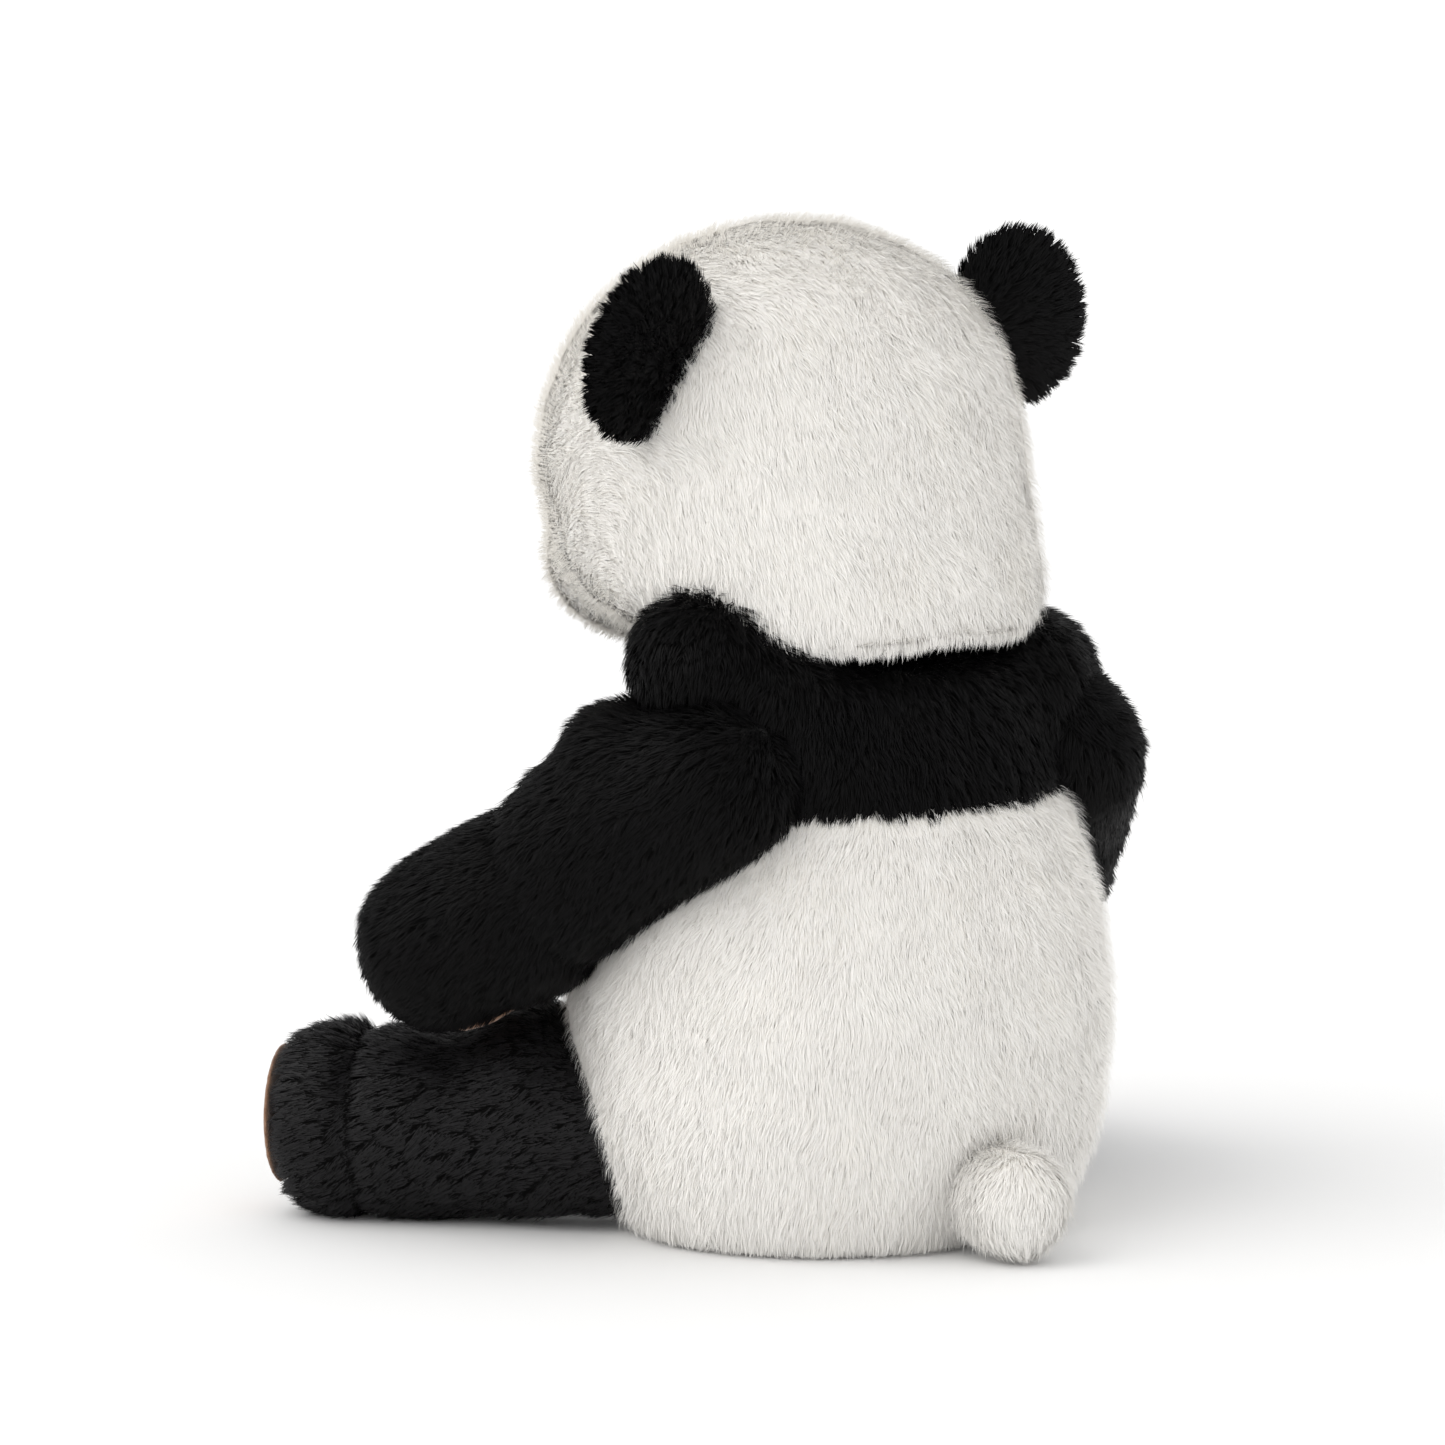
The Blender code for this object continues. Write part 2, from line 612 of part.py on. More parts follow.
def make_head(axis):
    """Makes the head's skin and stuffing, the neck plug, and everything sewn to the head."""
    hub = Vector((0, 0, DOME_Z))
    ball = ellipsoid(hub, Vector((1, 1, 1)) * NECK_BOWL_RADIUS)
    bowl = blob("neck_bowl", ball, 28, 16, axis)
    slots = []
    holes = []
    pockets = []
    for side, word in ((1, "left"), (-1, "right")):
        slots.append(make_ear(axis, side, word))
        hole, pocket = make_eye(axis, side, word)
        holes.append(hole)
        pockets.append(pocket)
    make_muzzle(axis)
    skin = head_blob("head_skin", axis, 0, WHITE_FUR)
    thicken(skin, SKIN)
    boolean(skin, "DIFFERENCE", bowl, *slots, *holes)
    stuffing = head_blob("head_stuffing", axis, -SKIN - GAP, FIBRE)
    boolean(stuffing, "DIFFERENCE", bowl, *slots, *pockets)

    profile = []
    widest = math.acos(NECK_PLUG_WIDTH / NECK_PLUG_RADIUS)
    for i in range(6):
        angle = math.pi / 2 + (widest - math.pi / 2) * i / 5
        profile.append((NECK_PLUG_RADIUS * math.cos(angle), DOME_Z + NECK_PLUG_RADIUS * math.sin(angle)))
    foot = DOME_TOP_Z + 2 * GAP
    profile[0] = (0, DOME_Z + NECK_PLUG_RADIUS)
    profile += [(NECK_PLUG_WIDTH, foot), (0, foot)]
    turned("neck_stuffing", profile, 28, axis, FIBRE)


def main():
    """Builds the whole panda."""
    clear_scene()
    axis = add_axis()
    limb_cutters = [make_tail(axis)]
    for side, word in ((1, "left"), (-1, "right")):
        limb_cutters.append(make_arm(axis, side, word))
        limb_cutters.append(make_leg(axis, side, word))
    make_torso(axis, limb_cutters)
    make_head(axis)


main()
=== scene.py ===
"""Seated plush panda: padded skins, sewn seams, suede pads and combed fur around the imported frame.

Metres, +Z up. The panda looks along -Y and its left side is +X. Pieces are made around the frame's
nodes and joints. The puffs of filling that the plain CAD lacks have named places or offsets of their
own. The fur is real geometry: thin bent blades, gathered into tufts.
"""
import json
import math

import bmesh
import bpy
import numpy as np
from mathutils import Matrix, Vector, noise
from mathutils.bvhtree import BVHTree
from mathutils.kdtree import KDTree


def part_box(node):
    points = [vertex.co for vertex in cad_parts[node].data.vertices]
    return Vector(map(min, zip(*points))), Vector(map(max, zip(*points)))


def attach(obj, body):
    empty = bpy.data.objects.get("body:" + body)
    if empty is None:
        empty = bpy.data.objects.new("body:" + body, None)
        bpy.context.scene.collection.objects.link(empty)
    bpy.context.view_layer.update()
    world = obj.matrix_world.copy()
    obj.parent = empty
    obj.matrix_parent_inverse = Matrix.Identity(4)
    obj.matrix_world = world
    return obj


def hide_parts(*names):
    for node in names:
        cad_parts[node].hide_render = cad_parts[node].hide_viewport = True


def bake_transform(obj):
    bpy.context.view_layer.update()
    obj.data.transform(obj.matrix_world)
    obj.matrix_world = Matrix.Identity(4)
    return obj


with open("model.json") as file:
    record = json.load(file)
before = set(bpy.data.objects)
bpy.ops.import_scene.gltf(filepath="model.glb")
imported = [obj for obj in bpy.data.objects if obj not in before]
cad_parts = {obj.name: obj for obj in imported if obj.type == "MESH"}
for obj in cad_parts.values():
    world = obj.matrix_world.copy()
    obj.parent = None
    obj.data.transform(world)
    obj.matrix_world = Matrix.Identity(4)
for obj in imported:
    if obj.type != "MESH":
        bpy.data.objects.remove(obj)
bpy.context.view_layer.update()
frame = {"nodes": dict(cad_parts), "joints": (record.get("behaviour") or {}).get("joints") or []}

SEED = 7
PILE = 0.0045            # how far the fur's tips stand above the padded skin
FLOOR_GAP = 0.0004       # the lowest a fur tip may lie
SEAM_DEPTH = 0.0028
SEAM_WIDTH = 0.0060

# Camera and light
VIEW_AZIMUTH = 142
VIEW_ELEVATION = 9
VIEW_DISTANCE = 6.0
VIEW_LENS = 315
VIEW_SHIFT = 0.0373      # the panda sits this far right of the middle of the view
VIEW_HEIGHT = 0.235
VIEW_DEPTH = -0.0075     # Y of the point the view turns about
SKY_STRENGTH = 0.90
KEY_TURN = -62           # the main light stands this far round from the camera, in degrees
KEY_ELEVATION = 48
KEY_SPREAD = 60
KEY_POWER = 1.00

SIDES = ((1, "left"), (-1, "right"))


# Small helpers on arrays of points

def unit(vectors):
    """Scales each row to length 1."""
    return vectors / np.maximum(np.linalg.norm(vectors, axis=-1, keepdims=True), 1e-9)


def flatten(vectors, normals):
    """Takes the part of each vector that lies in the surface."""
    return unit(vectors - normals * np.sum(vectors * normals, axis=1, keepdims=True))


def cloud(points, size):
    """Smooth noise from -1 to 1 at each point, with lumps of the given size."""
    return np.array([noise.noise(p) for p in (points / size).tolist()])


def swirl(points, size):
    """Smooth random vectors at each point, with lumps of the given size."""
    return np.array([noise.noise_vector(p) for p in (points / size).tolist()])


def tree_of(points):
    """A search tree of the points."""
    tree = KDTree(len(points))
    for i, point in enumerate(points.tolist()):
        tree.insert(point, i)
    tree.balance()
    return tree


def bell(distance, width):
    """A soft bump: 1 at distance 0, and near 0 past the width."""
    return np.exp(-(distance / width) ** 2)


def ramp(value, start, end):
    """A smooth step from 0 at start to 1 at end."""
    share = np.clip((value - start) / (end - start), 0, 1)
    return share * share * (3 - 2 * share)


def pivot(name):
    """Where a joint's axis passes, as an array."""
    joint = next(item for item in frame["joints"] if item["name"] == name)
    return np.array(joint["pos_m"], float)


def node_points(*names):
    """Every vertex of the CAD nodes."""
    return np.array([v.co for name in names for v in frame["nodes"][name].data.vertices], float)


def centre(name):
    """The middle of a CAD node's box."""
    low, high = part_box(name)
    return np.array((low + high) / 2)


# Padded skins

def mesh_points(mesh):
    """The mesh's vertices and their normals."""
    points = np.empty(len(mesh.vertices) * 3)
    mesh.vertices.foreach_get("co", points)
    normals = np.empty(len(mesh.vertices) * 3)
    mesh.vertices.foreach_get("normal", normals)
    return points.reshape(-1, 3), normals.reshape(-1, 3)


def move_points(mesh, points):
    """Gives the mesh's vertices new places."""
    mesh.vertices.foreach_set("co", points.ravel())
    mesh.update()


def add_hull(form, points):
    """Adds the tight convex solid around the points."""
    corners = [form.verts.new(point) for point in points]
    made = bmesh.ops.convex_hull(form, input=corners)
    loose = {item for key in ("geom_interior", "geom_unused") for item in made[key]
             if isinstance(item, bmesh.types.BMVert)}
    bmesh.ops.delete(form, geom=list(loose), context="VERTS")


def add_ball(form, place, radii):
    """Adds an ellipsoid."""
    ball = bmesh.ops.create_icosphere(form, subdivisions=4, radius=1)
    for vertex in ball["verts"]:
        vertex.co = Vector(place) + vertex.co * Vector(radii)


def padded_form(name, nodes, voxel, inset, balls=(), passes=14):
    """A smooth closed form around CAD nodes and extra balls, drawn in by inset to leave room for fur."""
    form = bmesh.new()
    add_hull(form, node_points(*nodes))
    for place, radii in balls:
        add_ball(form, place, radii)
    bmesh.ops.recalc_face_normals(form, faces=form.faces)
    mesh = bpy.data.meshes.new(name)
    form.to_mesh(mesh)
    form.free()
    draft = bpy.data.objects.new(name + "_draft", mesh)
    bpy.context.scene.collection.objects.link(draft)
    remesh = draft.modifiers.new("even", "REMESH")
    remesh.mode = "VOXEL"
    remesh.voxel_size = voxel
    smooth = draft.modifiers.new("soften", "SMOOTH")
    smooth.factor = 0.5
    smooth.iterations = passes
    shrink = draft.modifiers.new("inset", "DISPLACE")
    shrink.strength = -inset
    shrink.mid_level = 0
    bpy.context.view_layer.update()
    depsgraph = bpy.context.evaluated_depsgraph_get()
    solid = bpy.data.meshes.new_from_object(draft.evaluated_get(depsgraph))
    solid.name = name
    bpy.data.objects.remove(draft)
    solid.materials.clear()
    solid.polygons.foreach_set("use_smooth", np.ones(len(solid.polygons), bool))
    return solid


def add_relief(mesh, seams=(), lumps=0.0013):
    """Dimples the form along its seams and gives the filling soft lumps."""
    points, normals = mesh_points(mesh)
    push = lumps * cloud(points, 0.030) + 0.4 * lumps * cloud(points, 0.012)
    for seam, depth, width in seams:
        push -= depth * bell(seam(points), width)
    points = points + normals * push[:, None]
    points[:, 2] = np.maximum(points[:, 2], FLOOR_GAP)
    move_points(mesh, points)


def add_piece(name, mesh, material, body, nodes=()):
    """Adds a mesh as a piece in place of its CAD nodes. It rides on a body named by a string; any other
    body leaves it fixed where it is.
    """
    piece = bpy.data.objects.new(name, mesh)
    bpy.context.scene.collection.objects.link(piece)
    if material:
        mesh.materials.append(material)
    if isinstance(body, str):
        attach(piece, body)
    else:
        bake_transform(piece)
    if nodes:
        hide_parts(*nodes)


def part_of(mesh, name, keep, depth=0.0015):
    """Cuts out the faces whose middles are kept, as a cloth panel of the given depth."""
    form = bmesh.new()
    form.from_mesh(mesh)
    middles = np.array([face.calc_center_median() for face in form.faces])
    drop = [face for face, wanted in zip(form.faces, keep(middles)) if not wanted]
    bmesh.ops.delete(form, geom=drop, context="FACES")
    form.normal_update()
    bmesh.ops.solidify(form, geom=form.faces[:], thickness=depth)
    panel = bpy.data.meshes.new(name)
    form.to_mesh(panel)
    form.free()
    panel.polygons.foreach_set("use_smooth", np.ones(len(panel.polygons), bool))
    return panel


# Materials

def shader_of(name, colour, roughness):
    """A new material and its Principled shader."""
    material = bpy.data.materials.new(name)
    material.use_nodes = True
    shader = material.node_tree.nodes["Principled BSDF"]
    shader.inputs["Base Color"].default_value = (*colour, 1)
    shader.inputs["Roughness"].default_value = roughness
    return material, shader


def add_noise(material, scale, detail=4.0):
    """A noise texture in the object's own coordinates."""
    tree = material.node_tree
    places = tree.nodes.new("ShaderNodeTexCoord")
    texture = tree.nodes.new("ShaderNodeTexNoise")
    texture.inputs["Scale"].default_value = scale
    texture.inputs["Detail"].default_value = detail
    tree.links.new(places.outputs["Object"], texture.inputs["Vector"])
    return texture


def add_ramp(material, factor, stops):
    """A colour ramp fed by a factor."""
    tree = material.node_tree
    ramp_node = tree.nodes.new("ShaderNodeValToRGB")
    colours = ramp_node.color_ramp
    for item, (place, colour) in zip(colours.elements, stops):
        item.position = place
        item.color = (*colour, 1)
    for place, colour in stops[2:]:
        colours.elements.new(place).color = (*colour, 1)
    tree.links.new(factor, ramp_node.inputs["Fac"])
    return ramp_node.outputs["Color"]


def add_bump(material, shader, height, strength, distance):
    """Bump from a height."""
    tree = material.node_tree
    bump = tree.nodes.new("ShaderNodeBump")
    bump.inputs["Strength"].default_value = strength
    bump.inputs["Distance"].default_value = distance
    tree.links.new(height, bump.inputs["Height"])
    tree.links.new(bump.outputs["Normal"], shader.inputs["Normal"])


def cloth_material(name, deep, light, grain=900, sheen=0.3, roughness=0.95):
    """Woven or napped cloth: two tones mottled at two scales, with a fine nap."""
    material, shader = shader_of(name, light, roughness)
    shader.inputs["Sheen Weight"].default_value = sheen
    shader.inputs["Sheen Roughness"].default_value = 0.5
    mottle = add_noise(material, 55, 3.0)
    nap = add_noise(material, grain, 2.0)
    tree = material.node_tree
    mix = tree.nodes.new("ShaderNodeMath")
    mix.operation = "MULTIPLY_ADD"
    mix.inputs[1].default_value = 0.5
    tree.links.new(nap.outputs["Fac"], mix.inputs[0])
    half = tree.nodes.new("ShaderNodeMath")
    half.operation = "MULTIPLY"
    half.inputs[1].default_value = 0.5
    tree.links.new(mottle.outputs["Fac"], half.inputs[0])
    tree.links.new(half.outputs[0], mix.inputs[2])
    colour = add_ramp(material, mix.outputs[0], [(0.36, deep), (0.64, light)])
    tree.links.new(colour, shader.inputs["Base Color"])
    add_bump(material, shader, nap.outputs["Fac"], 0.6, 0.0006)
    return material


def fur_material(name, colour, roughness, sheen, gloss):
    """One tint of fur fibre. A coat mixes several, root and tip."""
    material, shader = shader_of(name, colour, roughness)
    shader.inputs["Sheen Weight"].default_value = sheen
    shader.inputs["Sheen Roughness"].default_value = 0.35
    shader.inputs["Specular IOR Level"].default_value = gloss
    return material


def fur_tints(name, roughness, sheen, gloss, *colours):
    """Fur fibres of one kind in a few close tints."""
    return [fur_material(f"{name}_{i}", colour, roughness, sheen, gloss)
            for i, colour in enumerate(colours)]


class Coat:
    """How a patch of fur is made. Lengths are in metres, density in blades per square millimetre.

    rise is how steeply blades stand, and stray how much that varies. Blades gather into tufts of the
    given size. twist turns a blade about its length, and facets shades it by its own face.
    """

    def __init__(self, roots, tips, density=0.75, length=0.0125, width=0.0010, rise=0.46,
                 tuft=0.0055, gather=0.40, stray=0.16, twist=0.35, facets=0.0):
        self.roots = roots
        self.tips = tips
        self.density = density
        self.length = length
        self.width = width
        self.rise = rise
        self.tuft = tuft
        self.gather = gather
        self.stray = stray
        self.twist = twist
        self.facets = facets


def make_coats():
    """The coats and their fibre materials."""
    # The white roots are a little darker and warmer than the tips: painted shade deep in the pile.
    white_roots = fur_tints("white_root", 0.9, 0.0, 0.0, (0.955, 0.935, 0.895),
                            (0.960, 0.942, 0.910), (0.950, 0.925, 0.880))
    white_tips = fur_tints("white_tip", 0.9, 0.0, 0.0, (0.985, 0.968, 0.936),
                           (0.990, 0.976, 0.948), (0.980, 0.960, 0.920))
    black_roots = fur_tints("black_root", 0.7, 0.0, 0.1, (0.0030, 0.0028, 0.0028),
                            (0.0040, 0.0037, 0.0037), (0.0026, 0.0026, 0.0028))
    # The black tips are darker than their roots: painted shade.
    black_tips = fur_tints("black_tip", 0.5, 0.0, 0.10, (0.0024, 0.0022, 0.0024),
                           (0.0034, 0.0032, 0.0038), (0.0020, 0.0020, 0.0022))
    # A lighter copy of the black tips for the legs: painted light.
    painted_lit_black_tips = fur_tints("soot_tip", 0.5, 0.02, 0.26, (0.0085, 0.0080, 0.0090),
                          (0.0110, 0.0102, 0.0120), (0.0070, 0.0068, 0.0075))
    return {
        "white": Coat(white_roots, white_tips, density=1.1, length=0.0100, width=0.00075,
                      rise=0.09, gather=0.20, stray=0.05, twist=0.12, facets=0.8),
        "guard": Coat(white_tips, white_tips, density=0.40, length=0.0095, width=0.00030,
                      rise=0.42, gather=0.35, stray=0.16, facets=5.0),
        "black": Coat(black_roots, black_tips, density=1.1, length=0.0100, width=0.00070,
                      rise=0.36, twist=0.7, facets=0.4),
        # The legs' coat: black roots with the lighter tips, painted light.
        "soot": Coat(black_roots, painted_lit_black_tips, density=1.1, length=0.0100, width=0.00070,
                     rise=0.36, twist=0.7, facets=0.4),
        "ear": Coat(black_roots, black_tips, density=1.3, length=0.0080, width=0.00065,
                    rise=0.45, twist=0.7, facets=0.4),
        "face": Coat(white_roots, white_tips, density=1.2, length=0.0060, width=0.0008,
                     rise=0.25, tuft=0.003),
        "patch": Coat(black_roots, black_tips, density=1.2, length=0.0065, width=0.0008,
                      rise=0.30, tuft=0.003, twist=0.7, facets=0.4),
    }


# Fur

STRAY_TURN = 0.13        # how far single blades turn from the combed way
ROOT_SINK = 0.0003       # how deep a blade starts in the skin
MOST_BLADES = 62000      # a piece of fur holds at most this many, three triangles each
WANDERS = ((0.45, 0.028), (0.20, 0.009))     # strength and size of the swirls in the combed way
RISE_CHANGE = 0.25       # how much the rise varies between patches of fur
RISE_PATCH = 0.020
RISE_LIMITS = (0.05, 0.9)
LENGTH_CHANGE = 0.16
LENGTH_LIMITS = (0.5, 1.4)
MIDDLE_GATHER = 0.35     # the share of a tuft's gathering that shows half way up a blade
WIDTH_LIMITS = (0.7, 1.25)
MIDDLE_WIDTH = 0.8       # a blade's width half way up, as a share of its root's
TONE_PATCH = 0.035
TONE_CHANGE = 0.35
TINT_STEPS = (0.10, 0.45)    # the tones at which the tint changes


def scatter(mesh, density, chance):
    """Random points on a mesh with their normals: density is in points per square millimetre."""
    mesh.calc_loop_triangles()
    corners = np.empty(len(mesh.loop_triangles) * 3, np.int64)
    mesh.loop_triangles.foreach_get("vertices", corners)
    corners = corners.reshape(-1, 3)
    points, normals = mesh_points(mesh)
    a, b, c = (points[corners[:, i]] for i in range(3))
    areas = np.linalg.norm(np.cross(b - a, c - a), axis=1) / 2
    count = int(areas.sum() * 1e6 * density)
    picked = chance.choice(len(areas), count, p=areas / areas.sum())
    u, v = chance.random(count), chance.random(count)
    over = u + v > 1
    u[over], v[over] = 1 - u[over], 1 - v[over]
    share = np.stack((1 - u - v, u, v), axis=1)[:, :, None]
    spots = (points[corners[picked]] * share).sum(1)
    ways = unit((normals[corners[picked]] * share).sum(1))
    return spots, ways


def blade_lines(spots, ways, comb, coat, chance):
    """The root, middle and tip of each blade, combed and gathered into tufts."""
    count = len(spots)
    flow = comb(spots, ways)
    for strength, size in WANDERS:
        flow = flow + strength * swirl(spots, size)
    flow = flatten(flow, ways)
    rise = coat.rise * (1 + RISE_CHANGE * cloud(spots, RISE_PATCH))
    rise = np.clip(rise + coat.stray * 0.5 * chance.standard_normal(count), *RISE_LIMITS)
    flow = flatten(flow + STRAY_TURN * chance.standard_normal((count, 3)), ways)
    length = coat.length * np.clip(1 + LENGTH_CHANGE * chance.standard_normal(count), *LENGTH_LIMITS)
    rise, length = rise[:, None], length[:, None]
    middle = spots + unit(flow * (1 - rise) + ways * rise * 1.25) * length * 0.5
    tip = middle + unit(flow * (1.15 - rise) + ways * rise * 0.75) * length * 0.5
    leaders = max(1, int(count * min(1, 1 / (coat.density * (coat.tuft * 1e3) ** 2))))
    tree = tree_of(spots[:leaders])
    nearest = np.array([tree.find(spot)[1] for spot in spots.tolist()])
    middle += (middle[nearest] - middle) * coat.gather * MIDDLE_GATHER
    tip += (tip[nearest] - tip) * coat.gather
    root = spots - ways * ROOT_SINK
    return root, middle, tip


def blade_mesh(name, root, middle, tip, ways, coat, chance):
    """Blades of three triangles each: a tapering strip and a point, in the coat's tints."""
    count = len(root)
    turn = chance.uniform(-coat.twist, coat.twist, count)[:, None]
    run = unit(tip - root)
    flat = unit(np.cross(run, ways))
    edge = unit(flat * np.cos(turn) + np.cross(run, flat) * np.sin(turn))
    half = (coat.width / 2 * chance.uniform(*WIDTH_LIMITS, count))[:, None]
    points = np.stack((root - edge * half, root + edge * half, middle + edge * half * MIDDLE_WIDTH,
                       middle - edge * half * MIDDLE_WIDTH, tip), axis=1).reshape(-1, 3)
    points[:, 2] = np.maximum(points[:, 2], FLOOR_GAP)
    start = (np.arange(count) * 5)[:, None]
    loops = (start + np.array([0, 1, 2, 3, 3, 2, 4])).ravel()
    mesh = bpy.data.meshes.new(name)
    mesh.vertices.add(count * 5)
    mesh.vertices.foreach_set("co", points.ravel())
    mesh.loops.add(count * 7)
    mesh.loops.foreach_set("vertex_index", loops)
    mesh.polygons.add(count * 2)
    starts = (np.arange(count) * 7)[:, None] + np.array([0, 4])
    mesh.polygons.foreach_set("loop_start", starts.ravel())
    tints = len(coat.tips)
    tone = cloud(root, TONE_PATCH) + TONE_CHANGE * chance.standard_normal(count)
    tint = np.digitize(tone, TINT_STEPS)
    slots = np.stack((tint, tint + tints), axis=1)
    mesh.polygons.foreach_set("material_index", slots.ravel())
    mesh.update(calc_edges=True)
    mesh.polygons.foreach_set("use_smooth", np.ones(count * 2, bool))
    for material in coat.roots + coat.tips:
        mesh.materials.append(material)
    soft = unit(ways + coat.facets * unit(np.cross(edge, run)))
    mesh.normals_split_custom_set_from_vertices(np.repeat(soft, 5, axis=0).astype(np.float32))
    return mesh


def grow(name, mesh, coat, comb, body, keep=None):
    """Grows a coat on a padded skin, as one or more pieces that ride on its body."""
    chance = np.random.default_rng(SEED + sum(map(ord, name)))
    spots, ways = scatter(mesh, coat.density, chance)
    if keep is not None:
        wanted = keep(spots, ways)
        spots, ways = spots[wanted], ways[wanted]
    root, middle, tip = blade_lines(spots, ways, comb, coat, chance)
    parts = math.ceil(len(root) / MOST_BLADES)
    for i in range(parts):
        share = slice(i, None, parts)
        label = f"{name}_{i + 1}" if parts > 1 else name
        fur = blade_mesh(label, root[share], middle[share], tip[share], ways[share], coat, chance)
        add_piece(label, fur, None, body, ())


def outside(mesh, depth):
    """Returns a test for points that lie outside a mesh, or less than depth inside it."""
    places, ways = mesh_points(mesh)
    tree = tree_of(places)
    deepest = (places.max(0) - places.min(0)).min() / 2

    def test(points):
        """True where a point isn't deep inside. None inside is deeper than half the thinnest side."""
        found = [tree.find(point) for point in points.tolist()]
        nearest = np.array([item[1] for item in found])
        distance = np.array([item[2] for item in found])
        inside = np.sum((points - places[nearest]) * ways[nearest], axis=1) < 0
        return ~(inside & (distance > depth) & (distance < deepest))
    return test


def away_from(points, reach):
    """Returns a test for points further than reach from every one of some points."""
    tree = tree_of(points)
    return lambda spots: np.array([tree.find(spot)[2] > reach for spot in spots.tolist()])


# Torso

SHOULDER = pivot("arm_left_lift")
HUMP_OFFSET = np.array([-0.011, -0.022, 0.039])
HUMP_RAISE = 0.013       # the left shoulder is stuffed this much higher, and the right one lower
HUMP_RADIUS = 0.040
SLOPE_OFFSET = np.array([-0.036, 0.000, 0.030])
SLOPE_RADIUS = 0.040
COLLAR = np.array([0, centre("belly_skin")[1], SHOULDER[2] + 0.034])
COLLAR_RADII = (0.100, 0.092, 0.030)
SEAM_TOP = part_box("belly_skin")[1].z
SEAM_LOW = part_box("upper_back_skin")[0].z
BELLY_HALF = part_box("belly_skin")[1].x
SEAT_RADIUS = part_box("seat_panel")[1].x
ARM_FALL = centre("paw_pad_left") - SHOULDER
TORSO_SKINS = ("belly_skin", "chest_skin", "upper_back_skin")
SEAT_LEVEL = 0.004       # the seat panel is the part of the underside below this
HEAD_COVER = 0.012       # the yoke keeps its fur this deep under the head


def mirrored(point, side):
    """A point on the panda's left (side 1), or its mirror on the right."""
    return np.array([point[0] * side, point[1], point[2]])


def above_yoke(points):
    """Height above the seam between the black yoke and the white belly."""
    across = np.minimum(np.abs(points[:, 0]) / BELLY_HALF, 1)
    return points[:, 2] - (SEAM_TOP - (SEAM_TOP - SEAM_LOW) * across ** 4)


def before_shoulders(points):
    """How far in front of the shoulder seams each point is."""
    normal = unit(np.array([0, ARM_FALL[2], -ARM_FALL[1]]))
    return (points - SHOULDER) @ normal


def middle_back(points):
    """Distance from the seam down the middle of the back."""
    return np.abs(points[:, 0]) + 10 * np.maximum(0, centre("belly_skin")[1] - points[:, 1])


def settle(mesh, amount=PILE):
    """Lets the underside sink through the pile so that the form rests on the floor."""
    points, normals = mesh_points(mesh)
    points[:, 2] -= amount * ramp(-normals[:, 2], 0.3, 0.9)
    points[:, 2] = np.maximum(points[:, 2], FLOOR_GAP)
    move_points(mesh, points)


def make_torso(coats, white_cloth, black_cloth, head):
    """The torso's four panels and their fur."""
    puffs = [(COLLAR, COLLAR_RADII)]
    for side, _ in SIDES:
        top = mirrored(SHOULDER + HUMP_OFFSET, side) + np.array([0, 0, side * HUMP_RAISE])
        puffs.append((top, (HUMP_RADIUS,) * 3))
        puffs.append((mirrored(SHOULDER + SLOPE_OFFSET, side), (SLOPE_RADIUS,) * 3))
    form = padded_form("torso", TORSO_SKINS, 0.005, PILE, puffs, passes=26)
    seams = (
        (above_yoke, SEAM_DEPTH, SEAM_WIDTH),
        (before_shoulders, SEAM_DEPTH * 0.5, SEAM_WIDTH),
        (middle_back, SEAM_DEPTH * 0.5, SEAM_WIDTH),
    )
    add_relief(form, seams)
    settle(form)

    def in_seat(points):
        """True on the seat panel."""
        return (points[:, 2] < SEAT_LEVEL) & (np.hypot(points[:, 0], points[:, 1]) < SEAT_RADIUS)

    panels = (
        ("belly_panel", white_cloth, "white_fur", ("belly_skin", "torso_stuffing"),
         lambda p: (above_yoke(p) < 0) & ~in_seat(p)),
        ("chest_panel", black_cloth, "black_fur", ("chest_skin",),
         lambda p: (above_yoke(p) >= 0) & (before_shoulders(p) >= 0)),
        ("upper_back_panel", black_cloth, "black_fur", ("upper_back_skin",),
         lambda p: (above_yoke(p) >= 0) & (before_shoulders(p) < 0)),
        ("seat_base", white_cloth, "white_fur", ("seat_panel", "seat_bead_bag"), in_seat),
    )
    for name, cloth, slot, nodes, keep in panels:
        add_piece(name, part_of(form, name, keep), cloth, "torso", nodes)

    shown = outside(head, HEAD_COVER)

    def in_belly(spots, ways):
        """Below the yoke, and not on the floor."""
        return (above_yoke(spots) < 0) & (ways[:, 2] > -0.8)

    def in_yoke(spots, ways):
        """Above the seam, and not under the head."""
        return (above_yoke(spots) >= 0) & shown(spots)

    def comb(spots, ways):
        """Down the body, and a little outwards."""
        return np.stack((spots[:, 0] * 2.0, np.zeros(len(spots)), -np.ones(len(spots))), axis=1)

    for name, coat in (("belly_fur", "white"), ("belly_guard_hair", "guard")):
        grow(name, form, coats[coat], comb, "torso", in_belly)
    grow("yoke_fur", form, coats["black"], comb, "torso", in_yoke)
    return form


# Head

